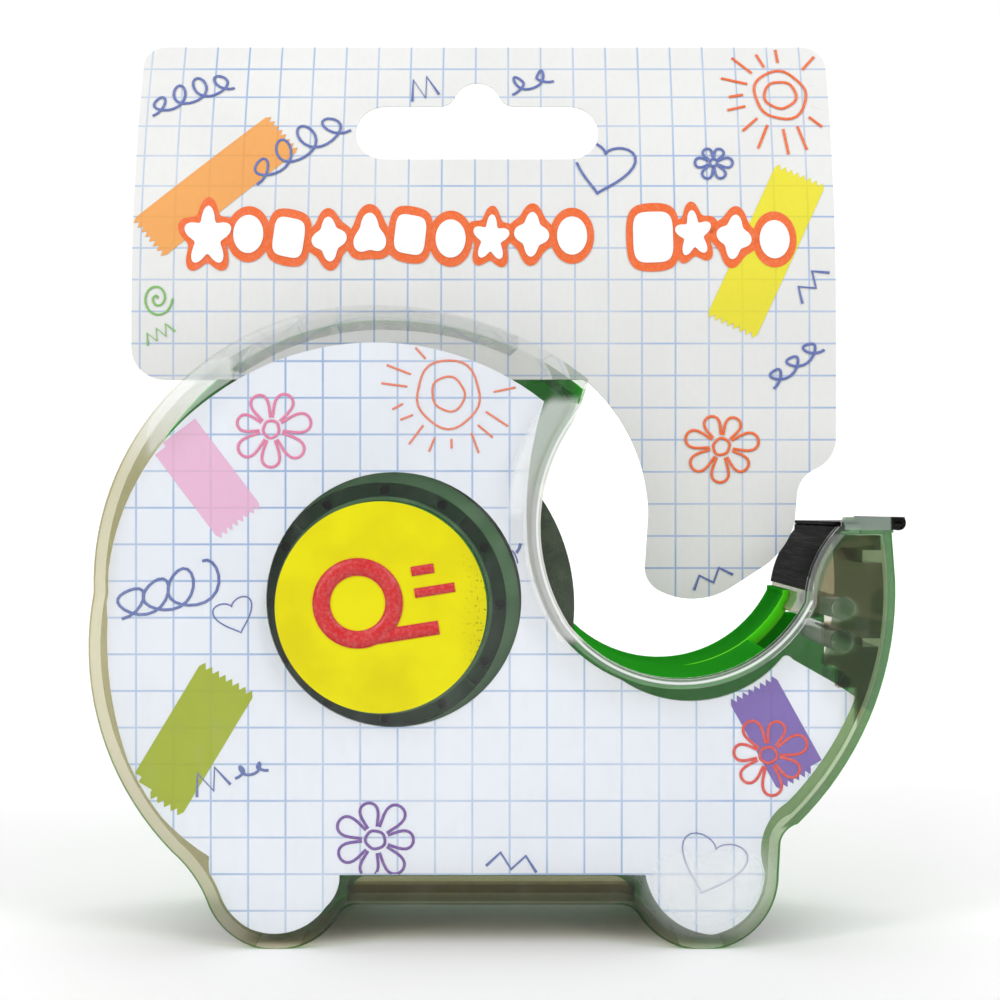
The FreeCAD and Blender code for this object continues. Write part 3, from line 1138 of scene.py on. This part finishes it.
@dataclass
class PrintedStrip:
    """Printed picture of a torn piece of coloured tape, with the card's squares showing through."""

    name: str
    tone: Tone
    x: float
    z: float
    length: float
    width: float
    angle: float
    teeth: int = 8
    tooth: float = 0.35

    def finish(self, squares: Squares) -> Material:
        """Returns the strip's print over the squares of its card."""
        darker = tuple(value * 0.72 for value in self.tone.value)
        return SquaredCard(self.name, self.tone.value, darker, squares, strength=0.45).build()

    def print_on(self, press: InkPress, squares: Squares) -> Thing:
        """Prints the strip with saw-tooth ends.

        Args:
            press: The press of the card that carries it.
            squares: The squares of that card.

        Returns:
            The new object.
        """
        piece = bmesh.new()
        bmesh.ops.create_grid(piece, x_segments=24, y_segments=self.teeth * 2, size=1.0)
        row = 1.0 / self.teeth
        for vertex in piece.verts:
            count = round((vertex.co.y + 1) / row)
            if abs(vertex.co.x) > 0.99:
                vertex.co.x *= 1.0 + (self.tooth if count % 2 else -self.tooth) / (self.length / 2)
        turn = Matrix.Rotation(math.radians(self.angle), 3, "Z")
        for vertex in piece.verts:
            flat = turn @ Vector((vertex.co.x * self.length / 2, vertex.co.y * self.width / 2, 0.0))
            vertex.co = Vector((self.x + flat.x, 0.0, self.z + flat.y))
        return press.press(piece, self.name, self.finish(squares))


HEADER_SQUARES = Squares(4.29, 4.11, -27.92, 4.04)
INSERT_SQUARES = Squares(4.45, 4.365, -20.40, -31.90)
GRID_BLUE = linear(118, 158, 212)


def star(angle: float) -> float:
    """Radius of a plump five-pointed star."""
    return 0.86 + 0.24 * math.cos(5 * (angle - math.pi / 2))


def disc(angle: float) -> float:
    """Radius of a disc."""
    return 0.88


def pebble(angle: float) -> float:
    """Radius of a rounded square."""
    return 0.9 / (abs(math.cos(angle)) ** 4 + abs(math.sin(angle)) ** 4) ** 0.25


def petal(angle: float) -> float:
    """Radius of a four-petalled flower."""
    return 0.86 + 0.17 * math.cos(4 * angle)


def drop(angle: float) -> float:
    """Radius of a rounded triangle."""
    return 0.86 + 0.18 * math.cos(3 * (angle - math.pi / 2))


def sized(shape: Outline, size: float, grow: float) -> Outline:
    """Returns the outline at a size in millimetres, grown all round."""
    return lambda angle: shape(angle) * size + grow


@dataclass
class HeaderArtwork:
    """Everything printed on the header card."""

    press: InkPress = field(default_factory=lambda: InkPress("header_card", 0.06))
    row: tuple[Outline | None, ...] = (star, disc, pebble, petal, drop, pebble, disc, star, petal, disc, None,
                                       pebble, star, petal, disc)
    row_start: Point = (-23.6, 46.6)
    row_step: float = 5.2
    sizes: Point = (2.25, 2.9)
    large: Point = (0, 11)

    def print_strips(self) -> list[Thing]:
        """Prints the two coloured strips."""
        strips = (PrintedStrip("strip_orange", Tone.ORANGE_TAPE, -22.8, 53.5, 21.8, 6.4, 40),
                  PrintedStrip("strip_yellow", Tone.YELLOW_TAPE, 48.2, 44.9, 21.6, 6.9, 65))
        return [strip.print_on(self.press, HEADER_SQUARES) for strip in strips]

    def print_doodles(self) -> list[Thing]:
        """Prints the pen drawings, one piece for each ink.

        Returns:
            The new objects.
        """
        orange = pen_lines(Sun(50.7, 66.0, 2.0, 3.4, 4.6, 8.0, 16, 3), Flower(42.3, 19.6, 1.5, 4.5, 7, 10))
        blue = pen_lines(
            Heart(27.3, 56.2, 4.0, -12), Flower(41.6, 56.5, 0.7, 2.3, 6),
            Coil((-31.5, 63.0), (-21.0, 67.0), 3.2, 4), Coil((-17.5, 53.5), (-5.5, 61.0), 4.0, 4),
            Zigzag((2.0, 66.5), (5.5, 67.5), 3.0, 2), Coil((15.5, 66.0), (21.0, 68.0), 2.6, 2),
            Coil((49.0, 27.0), (55.5, 32.0), 3.0, 3), Zigzag((52.0, 38.5), (55.5, 42.5), 1.8, 2),
            Zigzag((38.5, 1.9), (43.5, 3.9), 1.5, 2))
        green = pen_lines(Spiral(-30.0, 38.6, 2.0, 2), Zigzag((-31.5, 33.2), (-28.0, 35.0), 1.5, 3))
        draw = self.press.draw
        return [draw("doodle_header_orange", orange, Tone.ORANGE),
                draw("doodle_header_blue", blue, Tone.BLUE),
                draw("doodle_header_green", green, Tone.GREEN, 0.28)]

    def print_band(self) -> list[Thing]:
        """Prints the row of white shapes with thick orange edges across the card.

        Returns:
            The new objects.
        """
        made = []
        for i, shape in enumerate(self.row):
            if shape is None:
                continue
            spot = (self.row_start[0] + self.row_step * i, self.row_start[1] + 0.35 * math.sin(1.7 * i))
            size = self.sizes[i in self.large]
            for part, grow, tone, layer in (("edge", 0.85, Tone.ORANGE, 1), ("fill", -0.05, Tone.WHITE, 3)):
                made.append(self.press.fill(f"band_{part}_{i:02d}", spot, sized(shape, size, grow), tone,
                                            layer, tilt=9 * math.sin(2.3 * i), tall=1.3))
        return made

    def build(self) -> list[Thing]:
        """Prints everything and returns the pieces."""
        return self.print_strips() + self.print_doodles() + self.print_band()


@dataclass
class InsertArtwork:
    """Everything printed on the card behind the clear plate."""

    press: InkPress = field(default_factory=lambda: InkPress("insert_card", 0.028))

    def print_strips(self) -> list[Thing]:
        """Prints the three coloured strips.

        Returns:
            The new objects.
        """
        strips = (PrintedStrip("strip_pink", Tone.PINK_TAPE, -21.1, 15.5, 13.5, 6.4, 127),
                  PrintedStrip("strip_lime", Tone.LIME_TAPE, -22.7, -15.8, 16.6, 7.4, 59),
                  PrintedStrip("strip_purple", Tone.PURPLE_TAPE, 47.0, -15.1, 11.8, 6.3, 119))
        return [strip.print_on(self.press, INSERT_SQUARES) for strip in strips]

    def print_doodles(self) -> list[Thing]:
        """Prints the pen drawings, one piece for each ink.

        Returns:
            The new objects.
        """
        blue = pen_lines(
            Coil((-31.0, -1.5), (-20.5, 0.5), 5.2, 3.5), Zigzag((-22.5, -21.5), (-18.5, -20.0), 2.6, 2),
            Coil((-17.5, -20.5), (-13.5, -19.5), 1.4, 2), Coil((15.2, -1.5), (16.5, 7.5), 3.0, 3),
            Zigzag((12.5, -30.0), (18.5, -30.8), 1.8, 2))
        hearts = pen_lines(Heart(39.3, -30.4, 4.0, -18), Heart(-17.6, -0.9, 2.4, 20))
        draw = self.press.draw
        return [
            draw("doodle_insert_coral", Sun(7.9, 25.3, 2.0, 3.9, 5.2, 7.8, 17, 5).strokes(), Tone.CORAL, 0.3),
            draw("doodle_insert_pink", Flower(-13.2, 21.1, 1.4, 4.6, 7, 12, 6).strokes(), Tone.PINK),
            draw("doodle_insert_purple", Flower(-0.8, -27.8, 1.6, 4.9, 7, 0, 7).strokes(), Tone.PURPLE),
            draw("doodle_insert_red", Flower(46.0, -17.7, 1.4, 4.5, 7, 20, 8).strokes(), Tone.RED, layer=2),
            draw("doodle_insert_blue", blue, Tone.BLUE),
            draw("doodle_insert_heart", hearts, Tone.BLUE, 0.2)]

    def build(self) -> list[Thing]:
        """Prints everything and returns the pieces."""
        return self.print_strips() + self.print_doodles()


@dataclass
class LabelArtwork:
    """Bold picture of a roll of tape with its end pulled out, on the yellow label."""

    press: InkPress = field(default_factory=lambda: InkPress("hub_label", 0.03))
    tilt: float = 9.0
    ring: Round = Round(-2.6, 0.9, 4.3)

    def turned(self, points: Stroke) -> Stroke:
        """Returns the points turned by the picture's tilt."""
        a = math.radians(self.tilt)
        return [(x * math.cos(a) - z * math.sin(a), x * math.sin(a) + z * math.cos(a)) for x, z in points]

    def build(self) -> list[Thing]:
        """Prints the ring, the tail and two dashes.

        Returns:
            The new objects.
        """
        ring = [around(self.ring.x, self.ring.z, self.ring.radius, 2 * math.pi * k / 48) for k in range(49)]
        ring[-1] = ring[0]
        tail = [(-2.4, -3.4), (2.0, -3.4), (6.4, -3.4)]
        dashes = [[(4.2, z), (9.0 - 0.8 * abs(z - 1), z)] for z in (3.6, 1.0)]
        return [self.press.draw(name, [self.turned(line) for line in lines], Tone.SIGNAL_RED, width)
                for name, lines, width in (("label_ring", [ring], 2.4), ("label_tail", [tail], 1.9),
                                           ("label_dashes", dashes, 1.3))]


def dress_nodes(finishes: dict[str, Finish]) -> list[Thing]:
    """Puts a material in the slots of each CAD node.

    Args:
        finishes: The finish of each node.

    Returns:
        The nodes' objects.
    """
    things = []
    for name, finish in finishes.items():
        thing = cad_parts[name]
        material = finish.build()
        if not thing.material_slots:
            thing.data.materials.append(material)
        for slot in thing.material_slots:
            slot.material = material
        things.append(thing)
    return things


@dataclass
class Housing:
    """The two mouldings, the cards, the blade and the label, as the CAD gives them."""

    finishes: dict[str, Finish] = field(default_factory=lambda: {
        "front_shell": ClearPlastic(),
        "rear_shell": MouldedPlastic("green_plastic", linear(14, 104, 14), linear(34, 136, 28)),
        "insert_card": SquaredCard("card_insert", linear(240, 243, 253), GRID_BLUE, INSERT_SQUARES),
        "header_card": SquaredCard("card_header", linear(233, 234, 232), GRID_BLUE, HEADER_SQUARES),
        "cutter_blade": BladeSteel(),
        "hub_label": YellowLabel()})

    def build(self) -> list[Thing]:
        """Gives each CAD node its finish and returns the nodes."""
        return dress_nodes(self.finishes)


@dataclass
class Spool:
    """The core and the roll that turn together."""

    core: CorePlastic = CorePlastic()
    film: WoundFilm = WoundFilm()

    def build(self) -> list[Thing]:
        """Gives the core and the roll their finishes and returns them."""
        return dress_nodes({"tape_core": self.core, "tape_roll": self.film})


@dataclass(frozen=True)
class Lamp:
    """One soft light: where it hangs and aims, in metres from the middle of the object."""

    name: str
    place: Rgb
    size: Point
    power: float
    aim: Rgb = (0.0, 0.0, 0.0)

    def hang(self) -> None:
        """Hangs the light in the scene."""
        data = bpy.data.lights.new(self.name, "AREA")
        data.shape = "RECTANGLE"
        data.size, data.size_y = self.size
        data.energy = self.power
        light = bpy.data.objects.new(self.name, data)
        light.location = (CAD_BOX[0] + CAD_BOX[1]) / 2 + Vector(self.place)
        light.rotation_euler = (Vector(self.aim) - Vector(self.place)).to_track_quat("-Z", "Y").to_euler()
        bpy.context.scene.collection.objects.link(light)


LAMPS = (
    Lamp("key", (-0.45, -0.50, 0.60), (0.50, 0.40), 1.5),
    Lamp("fill", (0.60, -0.35, 0.35), (0.40, 0.60), 0.6),
    Lamp("strip_left", (-0.50, -0.28, 0.30), (0.06, 0.50), 1.3),
    Lamp("strip_right", (0.42, -0.30, 0.40), (0.06, 0.50), 1.3),
    Lamp("top", (0.0, 0.05, 0.80), (0.80, 0.30), 0.45),
    Lamp("backdrop_wash", (0.0, 0.35, 0.75), (1.0, 0.20), 8.0, (0.0, 1.1, 0.15)))


@dataclass
class Studio:
    """Camera, pale sweep and soft lights."""

    distance: float = 0.140
    eye_x: float = 15.48
    eye_z: float = 11.48
    lens: float = 42.71
    sensor: float = 36.0
    shift_x: float = -0.012
    shift_y: float = 0.010
    near_clip: float = 0.005
    floor_half: float = 1.2
    wall_height: float = 1.6
    cove: float = 0.5
    room_light: float = 0.41

    def set_camera(self) -> None:
        """Makes the camera, square to the clear plate."""
        data = bpy.data.cameras.new("camera")
        data.lens = self.lens
        data.sensor_width = self.sensor
        data.shift_x = self.shift_x
        data.shift_y = self.shift_y
        data.clip_start = self.near_clip
        camera = bpy.data.objects.new("camera", data)
        camera.location = DATUM.at(self.eye_x, -self.distance / MM, self.eye_z)
        camera.rotation_euler = (math.pi / 2, 0.0, 0.0)
        bpy.context.scene.collection.objects.link(camera)
        bpy.context.scene.camera = camera

    def lay_sweep(self) -> None:
        """Lays the floor and bends it up into a backdrop."""
        piece = bmesh.new()
        bmesh.ops.create_grid(piece, x_segments=1, y_segments=1, size=self.floor_half)
        edge_y = self.floor_half - 0.1
        back = [e for e in piece.edges if all(v.co.y > edge_y for v in e.verts)]
        raised = bmesh.ops.extrude_edge_only(piece, edges=back)["geom"]
        tops = [g for g in raised if isinstance(g, bmesh.types.BMVert)]
        bmesh.ops.translate(piece, verts=tops, vec=(0, 0, self.wall_height))
        fold = [e for e in piece.edges if all(v.co.y > edge_y and abs(v.co.z) < 1e-6 for v in e.verts)]
        bmesh.ops.bevel(piece, geom=fold, offset=self.cove, segments=16, profile=0.5, affect="EDGES",
                        material=-1)
        mesh = bpy.data.meshes.new("studio_sweep")
        piece.to_mesh(mesh)
        piece.free()
        mesh.polygons.foreach_set("use_smooth", [True] * len(mesh.polygons))
        mesh.materials.append(StudioPaper().build())
        sweep = bpy.data.objects.new("studio_sweep", mesh)
        bpy.context.scene.collection.objects.link(sweep)

    def light_room(self) -> None:
        """Surrounds the scene with even white light."""
        world = bpy.data.worlds.new("soft_room")
        world.use_nodes = True
        background = world.node_tree.nodes["Background"]
        background.inputs["Color"].default_value = (1.0, 1.0, 1.0, 1.0)
        background.inputs["Strength"].default_value = self.room_light
        bpy.context.scene.world = world

    def build(self) -> None:
        """Sets up the whole studio."""
        self.set_camera()
        self.lay_sweep()
        bpy.context.scene.view_settings.view_transform = "Standard"
        for lamp in LAMPS:
            lamp.hang()
        self.light_room()


def main() -> None:
    """Builds the scene in order and reports each piece."""
    logging.basicConfig(level=logging.INFO, format="%(message)s")
    Studio().build()
    groups = {
        "housing": Housing().build(),
        "spool": Spool().build(),
        "header artwork": HeaderArtwork().build(),
        "insert artwork": InsertArtwork().build(),
        "label artwork": LabelArtwork().build()}
    for group, things in groups.items():
        for thing in things:
            LOG.info("%s: %s, %d faces", group, thing.name, len(thing.data.polygons))


if __name__ == "__main__":
    main()
